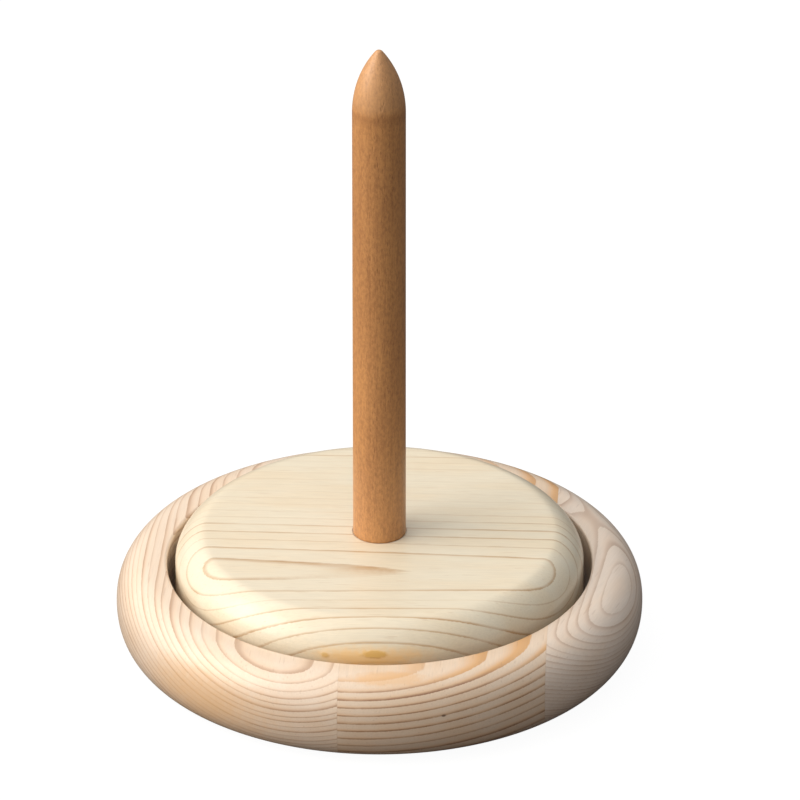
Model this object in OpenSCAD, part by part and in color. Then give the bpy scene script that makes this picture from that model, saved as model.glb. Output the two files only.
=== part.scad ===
// Revolving peg stand: a round dish turned from an edge-glued pine panel, a thick pine platter
// that turns inside it on a flat ball bearing, and a hardwood peg with a bullet tip.
// Millimetres. Z = 0 is the surface the stand rests on, and the peg's axis is X = Y = 0.

/* [Base dish] */
// Outer diameter of the dish
base_d = 160; // [156:1:180]
// Thickness of the glued panel that the dish is turned from
base_h = 26; // [25:0.5:30]
// Height of the rim's widest circle above the ground
rim_mid_z = 14.5; // [13:0.5:16]
// How far the rim's rounding reaches in from the widest circle
rim_round = 11.6; // [10:0.1:12.5]
// Squareness of the rim's rounding: 2 is an ellipse, more is squarer
rim_power = 2.2; // [2:0.1:3]
// Diameter of the well that the platter turns in
well_d = 129; // [128:0.5:130]
// Thickness of wood left under the well
floor_t = 6; // [5.5:0.5:8]
// Radius of the well's upper edge
lip_round = 1; // [0.5:0.1:1.5]

/* [Glued boards] */
// Where the left glue line crosses the X axis
seam_left_x = -8.35; // [-12:0.05:-4]
// Width of the middle board
board_w = 61; // [58:0.5:62]
// Turn of the boards' grain away from the Y axis, in degrees
seam_turn = 3.15; // [0:0.05:5]

/* [Pads] */
// Diameter of one felt pad
pad_d = 14; // [10:1:18]
// Thickness of a felt pad
pad_t = 1.5; // [1:0.1:2]
// Distance of the pads from the stand's axis
pad_circle_r = 60; // [52:1:64]

/* [Platter] */
// Diameter of the platter
platter_d = 124; // [120:0.5:125]
// Thickness of the platter
platter_t = 22; // [20:0.5:25]
// Size of the soft rounding of the platter's upper edge
platter_round = 9; // [5:0.5:10]
// Shape of that rounding: 2 is a circle, less is softer
platter_power = 1.6; // [1.4:0.1:2]
// Chamfer of the platter's lower edge
platter_chamfer = 0.8; // [0.4:0.1:2]

/* [Peg] */
// Diameter of the peg
peg_d = 16; // [14:1:18]
// Height of the peg's tip above the ground
total_h = 199; // [170:1:240]
// Radius of the arc that the bullet tip is turned to
ogive_r = 32; // [26:1:40]
// Radius of the very tip
tip_r = 1.5; // [1:0.1:3]
// Diameter of the tenon turned on the peg's foot
tenon_d = 12; // [10:0.5:13]
// Depth of the tenon's socket in the platter
socket_depth = 12; // [8:0.5:14]
// Depth of the shallow seat that takes the chamfered shoulder of the peg
seat_depth = 0.3; // [0.2:0.1:1]

/* [Ball bearing] */
// Side of each square bearing plate
plate_w = 76; // [74:1:78]
// Sheet thickness of the bearing plates
plate_t = 1.2; // [1:0.1:1.4]
// Corner radius of the plates
plate_corner = 6; // [4:0.5:8]
// Spacing of the plates' fixing holes along each side
plate_hole_pitch = 60; // [58:0.5:62]
// Overall height of the bearing
bearing_h = 7.9; // [7.9:0.1:8.5]
// Radius of the circle the balls run on
ball_circle_r = 27; // [26.5:0.1:27.5]
// Diameter of a ball
ball_d = 4; // [3.8:0.1:4]
// Number of balls
ball_count = 16; // [12:1:20]

/* [Screws] */
// Thread diameter of the plate screws
plate_screw_d = 3; // [2.8:0.1:3.2]
// Length of the screws that hold the lower plate
lower_screw_len = 6; // [5:0.5:6.5]
// Length of the screws that hold the upper plate
upper_screw_len = 12; // [10:1:14]
// Thread diameter of the peg's screw
peg_screw_d = 4; // [3.5:0.5:4.5]
// Length of the peg's screw
peg_screw_len = 40; // [30:1:50]

/* [Hidden] */
$fn = 96;

// Heights of the stack, from the ground up
base_z = pad_t;
crest_z = base_z + base_h;
floor_z = base_z + floor_t;
platter_z = floor_z + bearing_h;
platter_top_z = platter_z + platter_t;
peg_z = platter_top_z - socket_depth;
seat_z = platter_top_z - seat_depth;

// Radii
base_r = base_d / 2;
well_r = well_d / 2;
platter_r = platter_d / 2;
peg_r = peg_d / 2;
tenon_r = tenon_d / 2;
seat_play = 0.2;

// Rim rounding
rim_up = crest_z - rim_mid_z;
rim_down = rim_mid_z - base_z + 1;
arc_steps = 12;

// Glue lines, measured square to the grain
seam_1 = seam_left_x * cos(seam_turn);
seam_2 = seam_1 + board_w;
beyond = base_d;

// Bullet tip: an arc tangent to the peg, closed by a small ball
ogive_c = peg_r - ogive_r;
ball_c = sqrt(pow(ogive_r - tip_r, 2) - pow(ogive_c, 2));
blend_z = ball_c * ogive_r / (ogive_r - tip_r);
shoulder_z = total_h - ball_c - tip_r;

// Bearing: heights above the well's floor
ball_r = ball_d / 2;
ball_z = bearing_h / 2;
ball_play = 0.06;
track_w = 8;
track_h = 2.6;
track_relief_w = 5;
track_relief_h = 1;
neck_r = 15;
neck_wall = 1.2;
neck_h = 6.2;
neck_lip_r = 18.8;
dish_r = 22;
dish_lip_r = 16.8;
dish_z = 3.2;
cage_w = 4.8;
cage_t = 1.4;
cage_play = 0.15;
plate_hole_r = 1.7;
hole_circle_r = plate_hole_pitch / 2 * sqrt(2);
access_hole_r = 4.5;

// Screws
thread_depth = 0.4;
thread_pitch = 1;
thread_start = 0.6;
tip_share = 0.6;
pan_head_r = 2.8;
pan_head_h = 2;
flat_head_r = 4;
flat_head_h = 2.6;
drive_w = 0.8;

// How far a cutting shape reaches past what it cuts
skin = 1;

// One point on a rounded corner: a by b in size, squareness p, t from 0 to 90 degrees
function corner_point(a, b, p, t) = [a * pow(cos(t), 2 / p), b * pow(sin(t), 2 / p)];

// The rounded corner as a list of points, from its outermost point up or down to its crest
function corner_arc(x, z, a, b, p) =
    [for (i = [0:arc_steps]) [x, z] + corner_point(a, b, p, 90 * i / arc_steps)];

function reversed(list) = [for (i = [len(list) - 1:-1:0]) list[i]];

// The dish's section, from the axis to the outer rim
module dish_section() {
    rim_x = base_r - rim_round;
    upper = corner_arc(rim_x, rim_mid_z, rim_round, rim_up, rim_power);
    lower = corner_arc(rim_x, rim_mid_z, rim_round, -rim_down, rim_power);
    lip = [for (a = [90:15:180])
        [well_r + lip_round * (1 + cos(a)), crest_z - lip_round * (1 - sin(a))]];
    intersection() {
        polygon(concat([[0, 0]], reversed(lower), upper, lip, [[well_r, floor_z], [0, floor_z]]));
        translate([0, base_z])
            square([base_r + skin, base_h + skin]);
    }
}

module dish() {
    difference() {
        rotate_extrude()
            dish_section();
        screw_places(0, floor_z - lower_screw_len + plate_t)
            cylinder(r = plate_screw_d / 2 - thread_depth, h = lower_screw_len, $fn = 24);
        // A driver reaches the upper plate's screws through this hole, one after another
        translate([hole_circle_r, 0, -skin])
            cylinder(r = access_hole_r, h = floor_z + 2 * skin);
    }
}

// The slab of panel between two glue lines
module board_slab(x_low, x_high) {
    rotate([0, 0, -seam_turn])
        translate([x_low, -beyond, -skin])
            cube([x_high - x_low, 2 * beyond, crest_z + 2 * skin]);
}

// Children at the four corners of a bearing plate that is turned by angle
module screw_places(angle, z) {
    for (i = [0:3])
        rotate([0, 0, angle + 45 + 90 * i])
            translate([hole_circle_r, 0, z])
                children();
}

module rounded_square(w, r) {
    square([w, w - 2 * r], center = true);
    square([w - 2 * r, w], center = true);
    for (x = [-1, 1], y = [-1, 1])
        translate([x * (w / 2 - r), y * (w / 2 - r)])
            circle(r = r);
}

// A ring of rectangular section: inner radius, outer radius, lower and upper height
module ring(r_in, r_out, z_low, z_high) {
    rotate_extrude()
        translate([r_in, z_low])
            square([r_out - r_in, z_high - z_low]);
}

// A screw along +Z whose head is seated at Z = 0; the thread is drawn as rings
module screw(d, length, countersunk) {
    core_r = d / 2 - thread_depth;
    tip_z = length - tip_share * d;
    turns = floor((tip_z - thread_start) / thread_pitch);
    thread = [for (i = [0:turns - 1], k = [0, 1])
        [core_r + k * thread_depth, thread_start + (i + k / 2) * thread_pitch]];
    thread_end = thread_start + turns * thread_pitch;
    head_h = countersunk ? flat_head_h : pan_head_h;
    head_r = countersunk ? flat_head_r : pan_head_r;
    difference() {
        union() {
            rotate_extrude($fn = 32)
                polygon(concat([[0, 0], [core_r, 0]], thread, [[core_r, thread_end], [0, length]]));
            if (countersunk)
                cylinder(r1 = head_r, r2 = core_r, h = head_h, $fn = 48);
            else
                rotate_extrude($fn = 48)
                    pan_head_section(head_r, head_h);
        }
        for (a = [0, 90])
            rotate([0, 0, a])
                translate([0, 0, countersunk ? 0 : -head_h])
                    cube([head_r, drive_w, head_h], center = true);
    }
}

module pan_head_section(r, h) {
    corner = 0.8;
    intersection() {
        union() {
            translate([0, -h])
                square([r - corner, h]);
            translate([0, corner - h])
                square([r, h - corner]);
            translate([r - corner, corner - h])
                circle(r = corner, $fn = 32);
        }
        translate([0, -h])
            square([r, h]);
    }
}

module base_board_left() {
    color([0.93, 0.84, 0.72])
        intersection() {
            dish();
            board_slab(-beyond, seam_1);
        }
}

module base_board_centre() {
    color([0.9, 0.79, 0.66])
        intersection() {
            dish();
            board_slab(seam_1, seam_2);
        }
}

module base_board_right() {
    color([0.86, 0.77, 0.66])
        intersection() {
            dish();
            board_slab(seam_2, beyond);
        }
}

module pad(angle) {
    color([0.35, 0.32, 0.3])
        rotate([0, 0, angle])
            translate([pad_circle_r, 0, 0])
                cylinder(d = pad_d, h = pad_t);
}

module bearing_lower_plate() {
    color("silver")
        translate([0, 0, floor_z])
            difference() {
                union() {
                    linear_extrude(plate_t)
                        rounded_square(plate_w, plate_corner);
                    ring(ball_circle_r - track_w / 2, ball_circle_r + track_w / 2, 0, track_h);
                    ring(neck_r, neck_r + neck_wall, 0, neck_h);
                    ring(neck_r, neck_lip_r, neck_h - plate_t, neck_h);
                }
                ring(ball_circle_r - track_relief_w / 2, ball_circle_r + track_relief_w / 2,
                     -skin, track_relief_h);
                ball_groove();
                translate([0, 0, -skin])
                    cylinder(r = neck_r, h = bearing_h + 2 * skin);
                screw_places(0, -skin)
                    cylinder(r = plate_hole_r, h = plate_t + 2 * skin, $fn = 32);
            }
}

module bearing_upper_plate() {
    color("silver")
        translate([0, 0, floor_z])
            difference() {
                union() {
                    translate([0, 0, bearing_h - plate_t])
                        rotate([0, 0, 45])
                            linear_extrude(plate_t)
                                rounded_square(plate_w, plate_corner);
                    ring(ball_circle_r - track_w / 2, ball_circle_r + track_w / 2,
                         bearing_h - track_h, bearing_h);
                    ring(dish_r, dish_r + plate_t, dish_z, bearing_h);
                }
                translate([0, 0, dish_z - skin])
                    cylinder(r = dish_r, h = bearing_h);
                ring(ball_circle_r - track_relief_w / 2, ball_circle_r + track_relief_w / 2,
                     bearing_h - track_relief_h, bearing_h + skin);
                ball_groove();
                screw_places(45, bearing_h - plate_t - skin)
                    cylinder(r = plate_hole_r, h = plate_t + 2 * skin, $fn = 32);
            }
    color("silver")
        translate([0, 0, floor_z])
            ring(dish_lip_r, dish_r + plate_t, dish_z, dish_z + plate_t);
}

// The round groove that the balls run in, cut in both plates
module ball_groove() {
    translate([0, 0, ball_z])
        rotate_extrude()
            translate([ball_circle_r, 0])
                circle(r = ball_r + ball_play, $fn = 48);
}

module ball_ring() {
    for (i = [0:ball_count - 1])
        rotate([0, 0, 360 * i / ball_count])
            translate([ball_circle_r, 0, floor_z + ball_z])
                children();
}

module bearing_balls() {
    color("gainsboro")
        ball_ring()
            sphere(r = ball_r, $fn = 48);
}

module ball_cage() {
    color("ivory")
        difference() {
            translate([0, 0, floor_z + ball_z])
                ring(ball_circle_r - cage_w / 2, ball_circle_r + cage_w / 2, -cage_t / 2, cage_t / 2);
            ball_ring()
                cylinder(r = ball_r + cage_play, h = 2 * cage_t, center = true, $fn = 48);
        }
}

module lower_plate_screws() {
    color("darkgray")
        screw_places(0, floor_z + plate_t)
            rotate([180, 0, 0])
                screw(plate_screw_d, lower_screw_len, false);
}

module upper_plate_screws() {
    color("darkgray")
        screw_places(45, platter_z - plate_t)
            screw(plate_screw_d, upper_screw_len, false);
}

module platter() {
    color([0.93, 0.8, 0.6])
        difference() {
            rotate_extrude()
                polygon(concat([[0, platter_z], [platter_r - platter_chamfer, platter_z],
                                [platter_r, platter_z + platter_chamfer]],
                               corner_arc(platter_r - platter_round, platter_top_z - platter_round,
                                          platter_round, platter_round, platter_power),
                               [[0, platter_top_z]]));
            translate([0, 0, peg_z])
                cylinder(r = tenon_r, h = socket_depth + skin);
            translate([0, 0, seat_z])
                cylinder(r = peg_r + seat_play, h = seat_depth + skin);
            translate([0, 0, platter_z - skin])
                cylinder(r = peg_screw_d / 2, h = socket_depth + skin, $fn = 32);
            translate([0, 0, platter_z])
                cylinder(r1 = flat_head_r, r2 = peg_screw_d / 2 - thread_depth, h = flat_head_h, $fn = 48);
            screw_places(45, platter_z - plate_t)
                cylinder(r = plate_screw_d / 2 - thread_depth, h = upper_screw_len, $fn = 24);
        }
}

module peg() {
    color([0.66, 0.42, 0.22])
        difference() {
            union() {
                translate([0, 0, peg_z])
                    cylinder(r = tenon_r, h = seat_z - peg_z);
                translate([0, 0, seat_z])
                    cylinder(r1 = peg_r - seat_depth, r2 = peg_r, h = seat_depth);
                translate([0, 0, platter_top_z])
                    cylinder(r = peg_r, h = shoulder_z - platter_top_z);
                translate([0, 0, shoulder_z])
                    rotate_extrude()
                        bullet_section();
            }
            translate([0, 0, peg_z - skin])
                cylinder(r = peg_screw_d / 2 - thread_depth,
                         h = platter_z + peg_screw_len - peg_z + skin, $fn = 24);
        }
}

module bullet_section() {
    intersection() {
        translate([ogive_c, 0])
            circle(r = ogive_r, $fn = 360);
        square([peg_r, blend_z]);
    }
    intersection() {
        translate([0, ball_c])
            circle(r = tip_r);
        translate([0, blend_z])
            square([peg_r, 2 * tip_r]);
    }
}

module peg_screw() {
    color("darkgray")
        translate([0, 0, platter_z])
            screw(peg_screw_d, peg_screw_len, true);
}

base_board_left();
base_board_centre();
base_board_right();
pad(225);  // pad_front_left
pad(315);  // pad_front_right
pad(135);  // pad_back_left
pad(45);  // pad_back_right
bearing_lower_plate();
bearing_upper_plate();
bearing_balls();
ball_cage();
lower_plate_screws();
upper_plate_screws();
platter();
peg();
peg_screw();
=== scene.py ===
"""A revolving peg stand: a turned pine dish, a pine platter on a ball bearing, and a hardwood peg."""

import math

import bmesh
import bpy
from bpy.props import FloatProperty, FloatVectorProperty, IntProperty, PointerProperty
from bpy.types import Operator, Panel, PropertyGroup
from mathutils import Matrix, Vector


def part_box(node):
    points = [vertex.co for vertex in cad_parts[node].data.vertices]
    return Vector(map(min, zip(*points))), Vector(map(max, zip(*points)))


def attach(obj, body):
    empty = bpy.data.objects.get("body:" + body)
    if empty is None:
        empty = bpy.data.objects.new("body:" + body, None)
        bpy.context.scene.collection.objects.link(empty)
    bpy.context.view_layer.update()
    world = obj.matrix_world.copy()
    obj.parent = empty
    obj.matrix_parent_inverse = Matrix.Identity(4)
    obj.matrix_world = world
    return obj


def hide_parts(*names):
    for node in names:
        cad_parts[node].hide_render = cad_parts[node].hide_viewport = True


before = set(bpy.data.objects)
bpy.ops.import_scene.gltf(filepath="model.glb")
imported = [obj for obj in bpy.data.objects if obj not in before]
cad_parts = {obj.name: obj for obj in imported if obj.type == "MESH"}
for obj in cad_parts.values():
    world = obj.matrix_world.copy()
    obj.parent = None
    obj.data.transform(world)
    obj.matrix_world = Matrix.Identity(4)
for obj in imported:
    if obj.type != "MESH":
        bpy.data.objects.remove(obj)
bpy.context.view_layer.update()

bl_info = {
    "name": "Revolving Peg Stand",
    "version": (1, 0, 0),
    "blender": (4, 5, 0),
    "location": "View3D > Sidebar > Peg Stand",
    "description": "Builds the turned pine dish, the platter on its bearing, and the peg",
    "category": "Object",
}

MM = 0.001
WELD = 0.000002
AXIS_R = 0.0001
CUT_REACH = 1e-7
LARGE_FACET = 0.0025
ARC_STEPS = 40
KEY_WAY = (-0.81, -0.16, 0.564)
BACK_WAY = (0.25, 0.28, 0.93)

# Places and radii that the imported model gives
DISH_LOW, DISH_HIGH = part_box("base_board_left")
PLATTER_LOW, PLATTER_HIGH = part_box("platter")
PEG_LOW, PEG_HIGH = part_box("peg")
PAD_LOW, PAD_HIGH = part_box("pad_back_right")
LOWER_PLATE_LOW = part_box("bearing_lower_plate")[0]
BALLS_LOW, BALLS_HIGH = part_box("bearing_balls")
CAGE_LOW, CAGE_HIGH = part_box("ball_cage")
LOWER_SCREWS_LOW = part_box("lower_plate_screws")[0]
UPPER_SCREWS_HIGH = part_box("upper_plate_screws")[1]
PEG_SCREW_LOW, PEG_SCREW_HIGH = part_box("peg_screw")

DISH_R = -DISH_LOW.x
DISH_FOOT = DISH_LOW.z
DISH_CREST = DISH_HIGH.z
FLOOR_TOP = LOWER_PLATE_LOW.z
PLATTER_R = PLATTER_HIGH.x
PLATTER_FOOT = PLATTER_LOW.z
PLATTER_TOP = PLATTER_HIGH.z
PEG_R = PEG_HIGH.x
PEG_FOOT = PEG_LOW.z
PEG_TIP = PEG_HIGH.z
BALL_R = (BALLS_HIGH.z - BALLS_LOW.z) / 2
BALL_CIRCLE_R = BALLS_HIGH.x - BALL_R
BALL_MID = (BALLS_HIGH.z + BALLS_LOW.z) / 2


def size(name, description, default, low, high):
    """A length property in metres, from values in millimetres."""
    return FloatProperty(name=name, description=description, default=default * MM, min=low * MM,
                         max=high * MM, unit="LENGTH", subtype="DISTANCE", precision=5)


def tint(name, description, default):
    return FloatVectorProperty(name=name, description=description, default=default, size=3,
                               min=0, max=1, subtype="COLOR")


class TurningSizes(PropertyGroup):
    rim_mid: size("Rim middle", "Height of the rim's widest circle", 14.5, 13, 16)
    rim_round: size("Rim rounding", "Reach of the rim's rounding", 11.6, 10, 12.5)
    rim_power: FloatProperty(name="Rim squareness", description="2 is an ellipse, more is squarer",
                             default=2.2, min=2, max=3)
    well_r: size("Well radius", "Radius of the well for the platter", 64.5, 64, 65)
    lip_round: size("Lip rounding", "Radius of the well's upper edge", 1, 0.5, 1.5)
    access_hole_r: size("Access hole radius", "Radius of the driver's hole in the floor", 4.5, 4, 5)
    platter_round: size("Platter rounding", "Size of the platter's soft upper edge", 9, 5, 10)
    platter_power: FloatProperty(name="Platter softness", description="2 is a circle, less is softer",
                                 default=1.6, min=1.4, max=2)
    platter_chamfer: size("Platter chamfer", "Chamfer of the platter's lower edge", 0.8, 0.4, 2)
    seat_depth: size("Seat depth", "Depth of the seat for the peg's shoulder", 0.3, 0.2, 1)
    tenon_r: size("Tenon radius", "Radius of the tenon on the peg's foot", 6, 5, 6.5)
    ogive_r: size("Tip arc", "Radius of the arc of the bullet tip", 32, 26, 40)
    tip_r: size("Tip end", "Radius of the very tip", 1.5, 1, 3)
    steps: IntProperty(name="Steps", description="Facets round a large turned piece",
                       default=288, min=64, max=512)


class GlueLines(PropertyGroup):
    seam_left: size("Left glue line", "Distance of the left glue line from the axis", -8.337, -12, -4)
    board_w: size("Board width", "Width of the middle board", 61, 58, 62)
    turn: FloatProperty(name="Turn", description="Turn of the boards' grain from the Y axis",
                        default=math.radians(3.15), subtype="ANGLE")


class HardwareSizes(PropertyGroup):
    pad_round: size("Pad rounding", "Rounding of a felt pad's edges", 0.35, 0.1, 0.7)
    ball_count: IntProperty(name="Balls", description="Number of bearing balls", default=16)
    cage_play: size("Cage play", "Gap between a ball and the cage", 0.15, 0.05, 0.3)
    hole_circle: size("Screw circle", "Radius of the circle of plate screws", 42.426, 41, 44)
    plate_t: size("Plate", "Sheet thickness of the bearing plates", 1.2, 1, 1.4)
    plate_screw_r: size("Plate screw", "Outer radius of a plate screw's thread", 1.5, 1.4, 1.6)
    pan_head_r: size("Pan head", "Radius of a pan head", 2.8, 2.5, 3)
    peg_screw_r: size("Peg screw", "Outer radius of the peg screw's thread", 2, 1.8, 2.2)
    flat_head_r: size("Flat head", "Radius of the countersunk head", 4, 3.5, 4.5)
    flat_head_h: size("Flat head height", "Height of the countersunk head", 2.6, 2, 3)
    thread_depth: size("Thread depth", "Depth of the screw threads", 0.4, 0.3, 0.5)
    thread_pitch: size("Thread pitch", "Pitch of the screw threads", 1, 0.8, 1.4)
    drive_w: size("Drive width", "Width of the cross recess", 0.8, 0.6, 1)


class Finishes(PropertyGroup):
    rim_pale: tint("Rim, pale wood", "Early wood of the dish", (0.76, 0.61, 0.48))
    rim_amber: tint("Rim, amber wood", "Start of the late wood of the dish", (0.66, 0.38, 0.20))
    rim_dark: tint("Rim, dark wood", "Ring lines of the dish", (0.30, 0.15, 0.08))
    platter_pale: tint("Platter, pale wood", "Early wood of the platter", (0.775, 0.695, 0.55))
    platter_amber: tint("Platter, amber wood", "Start of the platter's late wood", (0.66, 0.44, 0.22))
    platter_dark: tint("Platter, dark wood", "Ring lines of the platter", (0.46, 0.26, 0.11))
    resin: tint("Resin", "Amber of the resin pockets", (0.72, 0.43, 0.11))
    resin_halo: tint("Resin halo", "Amber of the wood round the pockets", (0.92, 0.57, 0.21))
    peg_pale: tint("Peg, pale wood", "Pale streaks of the peg", (0.68, 0.33, 0.118))
    peg_dark: tint("Peg, dark wood", "Pores and dark streaks of the peg", (0.27, 0.105, 0.04))
    felt: tint("Felt", "Colour of the felt pads", (0.05, 0.045, 0.04))
    zinc: tint("Zinc", "Colour of the zinc plating", (0.62, 0.64, 0.66))
    steel: tint("Ball steel", "Colour of the polished balls", (0.70, 0.70, 0.72))
    nylon: tint("Nylon", "Colour of the ball cage", (0.78, 0.75, 0.66))


class StudioSettings(PropertyGroup):
    camera_height: size("Camera height", "Height of the camera", 1364.4, 500, 3000)
    camera_away: size("Camera distance", "Level distance of the camera", 2420.7, 1000, 5000)
    aim: FloatVectorProperty(name="Aim", description="Point that the camera looks at",
                             default=(0.0063, 0.0292, 0.0667), subtype="XYZ", unit="LENGTH")
    lens: FloatProperty(name="Lens", description="Focal length for a 36 mm sensor", default=409.6,
                        subtype="DISTANCE_CAMERA")
    key_power: FloatProperty(name="Key light", description="Power of the main softbox",
                             default=28, unit="POWER")
    glow: FloatProperty(name="Glow", description="Strength of the broad soft light at the left",
                        default=1.3)
    back: FloatProperty(name="Back glow", description="Strength of the soft light high behind",
                        default=0.55)
    sky: FloatProperty(name="Sky", description="Strength of the even surrounding light", default=0.11)
    floor: tint("Floor", "Colour of the studio floor", (0.85, 0.85, 0.85))


GROUPS = {"turning": TurningSizes, "glue": GlueLines, "hardware": HardwareSizes,
          "finish": Finishes, "studio": StudioSettings}


# ---------------------------------------------------------------- node helpers

def feed(tree, target, value):
    """Gives an input socket a link or a constant."""
    if isinstance(value, bpy.types.NodeSocket):
        tree.links.new(value, target)
    elif value is not None:
        target.default_value = value


def put(tree, kind, feeds=None, **settings):
    """Adds a node with its settings and what goes into its inputs."""
    made = tree.nodes.new(kind)
    for name, value in settings.items():
        setattr(made, name, value)
    for key, value in (feeds or {}).items():
        feed(tree, made.inputs[key], value)
    return made


def calc(tree, operation, a, b=None, c=None):
    feeds = {i: v for i, v in enumerate((a, b, c)) if v is not None}
    return put(tree, "ShaderNodeMath", feeds, operation=operation).outputs[0]


def times(tree, a, b):
    return calc(tree, "MULTIPLY", a, b)


def minus(tree, a, b):
    return calc(tree, "SUBTRACT", a, b)


def vector_calc(tree, operation, a, b):
    return put(tree, "ShaderNodeVectorMath", {0: a, 1: b}, operation=operation).outputs[0]


def joined(tree, x=0.0, y=0.0, z=0.0):
    return put(tree, "ShaderNodeCombineXYZ", {"X": x, "Y": y, "Z": z}).outputs[0]


def along(tree, vector, axis):
    """One coordinate of a vector."""
    return put(tree, "ShaderNodeSeparateXYZ", {0: vector}).outputs[axis]


def noise(tree, where, detail, scale=1.0, roughness=0.5, distortion=0.0, output="Fac"):
    """A noise texture over a Vector, over a W, or over both."""
    dimensions = {("Vector",): "3D", ("W",): "1D", ("Vector", "W"): "4D"}[tuple(where)]
    feeds = {**where, "Scale": scale, "Detail": detail, "Roughness": roughness, "Distortion": distortion}
    return put(tree, "ShaderNodeTexNoise", feeds, noise_dimensions=dimensions).outputs[output]


def remap(tree, value, from_low, from_high, to_low=0.0, to_high=1.0, smooth=True):
    kind = "SMOOTHSTEP" if smooth else "LINEAR"
    feeds = {"Value": value, "From Min": from_low, "From Max": from_high,
             "To Min": to_low, "To Max": to_high}
    return put(tree, "ShaderNodeMapRange", feeds, interpolation_type=kind).outputs[0]


def mix_colour(tree, factor, a, b, blend="MIX"):
    made = put(tree, "ShaderNodeMix", data_type="RGBA", blend_type=blend)
    for key, value in ((0, factor), (6, a), (7, b)):
        if isinstance(value, tuple) and len(value) == 3:
            value = (*value, 1)
        feed(tree, made.inputs[key], value)
    return made.outputs[2]


def start_group(name, kind, inputs, outputs):
    """A node group with named sockets, and its input and output nodes."""
    tree = bpy.data.node_groups.new(name, kind)
    for socket, default in inputs.items():
        kinds = {float: "NodeSocketFloat", int: "NodeSocketInt", tuple: "NodeSocketVector"}
        made = tree.interface.new_socket(socket, in_out="INPUT",
                                         socket_type=kinds.get(type(default), default))
        if not isinstance(default, str):
            made.default_value = default
    for socket, socket_kind in outputs.items():
        tree.interface.new_socket(socket, in_out="OUTPUT", socket_type=socket_kind)
    return tree, tree.nodes.new("NodeGroupInput").outputs, tree.nodes.new("NodeGroupOutput").inputs


# ---------------------------------------------------------------- shader groups

def growth_rings():
    """Growth rings round a pith that runs along Y; lengths in millimetres."""
    tree, given, result = start_group(
        "growth_rings", "ShaderNodeTree",
        {"Vector": (0.0, 0.0, 0.0), "First Ring": 10.0, "Spacing": 2.0, "Narrowing": 0.0,
         "Line Share": 0.25, "Waver": 1.0, "Unevenness": 0.5, "Seed": 0.0},
        dict.fromkeys(("Late Wood", "Ring Line", "Ring Tone", "Fibre", "Cloud"), "NodeSocketFloat"))
    vector, seed = given["Vector"], given["Seed"]
    long_way = vector_calc(tree, "MULTIPLY", vector, (0.028, 0.009, 0.028))
    drift = noise(tree, {"Vector": long_way, "W": seed}, 2.0, output="Color")
    shift = vector_calc(tree, "SUBTRACT", drift, (0.5, 0.5, 0.5))
    scaled = put(tree, "ShaderNodeVectorMath", {0: shift, "Scale": given["Waver"]},
                 operation="SCALE").outputs[0]
    bent = vector_calc(tree, "ADD", vector, scaled)
    x, z = along(tree, bent, "X"), along(tree, bent, "Z")
    from_pith = calc(tree, "SQRT", calc(tree, "ADD", times(tree, x, x), times(tree, z, z)))
    even = calc(tree, "DIVIDE", minus(tree, from_pith, given["First Ring"]), given["Spacing"])
    count = times(tree, even, calc(tree, "MULTIPLY_ADD", even, given["Narrowing"], 1.0))
    year = noise(tree, {"W": calc(tree, "MULTIPLY_ADD", count, 0.61, seed)}, 1.0)
    turns = calc(tree, "ADD", count, times(tree, minus(tree, year, 0.5), given["Unevenness"]))
    begun = calc(tree, "GREATER_THAN", turns, -1.0)
    tone = put(tree, "ShaderNodeTexWhiteNoise", {"W": calc(tree, "ADD", calc(tree, "FLOOR", turns), seed)},
               noise_dimensions="1D").outputs["Value"]
    fine_way = vector_calc(tree, "MULTIPLY", bent, (2.4, 0.09, 2.4))
    fibre = noise(tree, {"Vector": fine_way}, 3.0, roughness=0.6)
    cloud_way = vector_calc(tree, "MULTIPLY", bent, (0.12, 0.03, 0.12))
    cloud = noise(tree, {"Vector": cloud_way, "W": seed}, 3.0)
    ragged = calc(tree, "MULTIPLY_ADD", minus(tree, fibre, 0.5), 0.16, calc(tree, "FRACT", turns))
    width = times(tree, given["Line Share"], remap(tree, tone, 0.0, 1.0, 0.65, 1.35, False))
    fall = times(tree, remap(tree, ragged, 0.955, 1.0, 1.0, 0.0), begun)
    late_from = minus(tree, 0.9, times(tree, width, 1.8))
    late = times(tree, remap(tree, ragged, late_from, 0.9), fall)
    line = times(tree, remap(tree, ragged, minus(tree, 0.96, width), 0.94), fall)
    for name, value in (("Late Wood", late), ("Ring Line", line), ("Ring Tone", tone),
                        ("Fibre", fibre), ("Cloud", cloud)):
        feed(tree, result[name], value)


def short_streaks():
    """Short dark dashes along Y, such as resin canals and open pores; lengths in millimetres."""
    tree, given, result = start_group(
        "short_streaks", "ShaderNodeTree",
        {"Vector": (0.0, 0.0, 0.0), "Width": 0.25, "Length": 3.0, "Amount": 0.3},
        {"Streak": "NodeSocketFloat"})
    across = calc(tree, "DIVIDE", 1.0, given["Width"])
    stretch = joined(tree, across, calc(tree, "DIVIDE", 1.0, given["Length"]), across)
    place = vector_calc(tree, "MULTIPLY", given["Vector"], stretch)
    cells = put(tree, "ShaderNodeTexVoronoi", {"Vector": place, "Scale": 0.35, "Randomness": 1.0},
                feature="F1").outputs
    chosen = put(tree, "ShaderNodeTexWhiteNoise", {"Vector": cells["Position"]},
                 noise_dimensions="3D").outputs["Value"]
    kept = calc(tree, "LESS_THAN", chosen, given["Amount"])
    feed(tree, result["Streak"], times(tree, kept, remap(tree, cells["Distance"], 0.22, 0.42, 1.0, 0.0)))


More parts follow.
